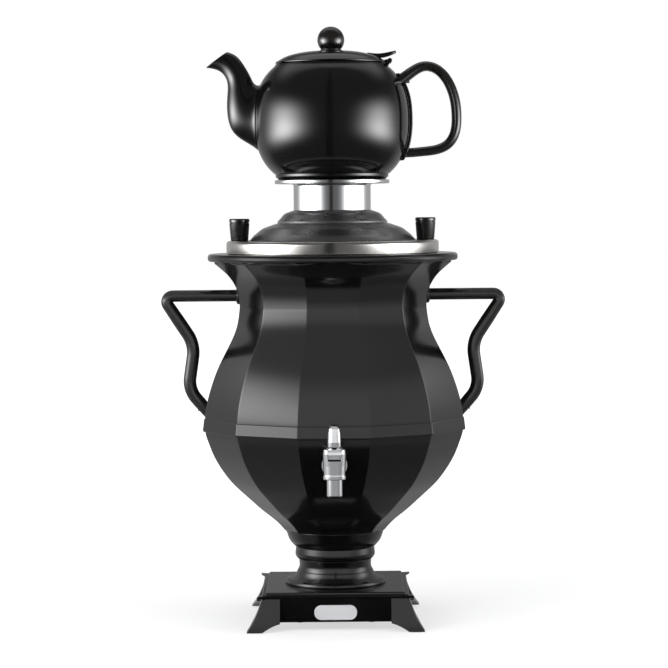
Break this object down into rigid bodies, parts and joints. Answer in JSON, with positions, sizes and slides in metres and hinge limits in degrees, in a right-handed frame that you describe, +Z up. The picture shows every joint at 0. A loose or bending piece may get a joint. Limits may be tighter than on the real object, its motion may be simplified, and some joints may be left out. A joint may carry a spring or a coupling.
{
  "type": "samovar",
  "caption": "Electric samovar: faceted urn on a pedestal and square plinth, lever tap, side handles, steel lid and a teapot on top.",
  "frame": {"origin": "on the urn's vertical axis, on the surface that its feet stand on", "axes": "+Z up, the tap points to -Y, the teapot's spout to -X and its handle to +X"},
  "size_m": [0.3124, 0.2739, 0.5389],
  "materials": {
    "black_enamel": "gloss black vitreous enamel on pressed steel",
    "cast_black": "black enamel on cast metal",
    "chrome": "polished chrome plate",
    "polished_steel": "polished stainless steel",
    "satin_steel": "satin stainless steel",
    "bare_plate": "satin aluminium",
    "bakelite": "polished black bakelite",
    "rubber": "matte black rubber",
    "silicone": "translucent silicone",
    "brass": "turned brass",
    "zinc_steel": "zinc plated steel",
    "porcelain": "unglazed porcelain",
    "moulded_black": "moulded black plastic",
    "moulded_white": "moulded pale plastic",
    "wire_cover": "extruded wire insulation"
  },
  "bodies": {
    "stand": {"plinth_frame": "cast_black", "plinth_plate": "cast_black", "plinth_screws": "zinc_steel", "foot_pads": "rubber", "badge_plate": "bare_plate", "base_cover": "zinc_steel", "base_cover_screws": "zinc_steel", "pedestal_foot": "black_enamel", "pedestal_column": "black_enamel", "pedestal_collar": "black_enamel", "tie_tube": "brass", "tie_nuts": "brass", "casing_lower": "black_enamel", "casing_upper": "black_enamel", "belly_band": "black_enamel", "tank_floor": "satin_steel", "tank_wall": "satin_steel", "tank_neck": "satin_steel", "rim_gasket": "silicone", "heating_element": "satin_steel", "element_bushings": "brass", "element_insulators": "porcelain", "thermostats": "moulded_black", "earth_stud": "brass", "supply_wires": "wire_cover", "terminal_block": "moulded_white", "cord_gland": "moulded_black", "switch_housing": "moulded_black", "pivot_pins": "chrome", "handle_left": "bakelite", "handle_right": "bakelite", "handle_screws": "zinc_steel", "tap_body": "chrome", "tap_spout": "chrome", "tap_spring": "satin_steel", "tap_escutcheon": "chrome", "tap_seals": "silicone", "shank_spacer": "zinc_steel", "shank_nut": "brass"},
    "lid": {"lid_rim": "polished_steel", "lid_dome": "satin_steel", "lid_seal": "silicone", "lid_knobs": "bakelite", "lid_knob_screws": "zinc_steel", "teapot_holder": "chrome"},
    "teapot": {"teapot_body": "black_enamel", "teapot_base": "black_enamel", "teapot_spout": "black_enamel", "handle_strap": "black_enamel", "teapot_handle": "bakelite", "handle_loop_screws": "zinc_steel", "hinge_pin": "satin_steel"},
    "pot_lid": {"teapot_lid": "black_enamel", "thumb_tab": "black_enamel", "lid_ball": "bakelite", "lid_ball_screw": "zinc_steel"},
    "lever": {"tap_lever": "chrome"},
    "valve": {"tap_stem": "brass", "stem_seal": "silicone"},
    "rocker": {"power_rocker": "moulded_black"}
  },
  "joints": [
    {"name": "lid_lift", "type": "slide", "parent": "stand", "child": "lid", "axis": [0, 0, 1], "range_m": [0, 0.12]},
    {"name": "teapot_lift", "type": "slide", "parent": "lid", "child": "teapot", "axis": [0, 0, 1], "range_m": [0, 0.1]},
    {"name": "pot_lid_hinge", "type": "hinge", "parent": "teapot", "child": "pot_lid", "pos_m": [0.053, 0, 0.5076], "axis": [0, 1, 0], "range_deg": [0, 80]},
    {"name": "tap_lever_tilt", "type": "hinge", "parent": "stand", "child": "lever", "pos_m": [0, -0.145, 0.1655], "axis": [1, 0, 0], "range_deg": [0, 45], "stiffness_Nm_per_rad": 0.03, "springref_deg": -22.92},
    {"name": "tap_stem_slide", "type": "slide", "parent": "stand", "child": "valve", "axis": [0, 0, 1], "range_m": [-0.0014, 0], "deforming": ["tap_spring"]},
    {"name": "power_rocker_tilt", "type": "hinge", "parent": "stand", "child": "rocker", "pos_m": [0.022, 0.0629, 0.016], "axis": [0, 0, 1], "range_deg": [0, 20]}
  ],
  "couplings": [
    {"joint": "tap_stem_slide", "follows": "tap_lever_tilt", "m_per_rad": -0.001621}
  ]
}
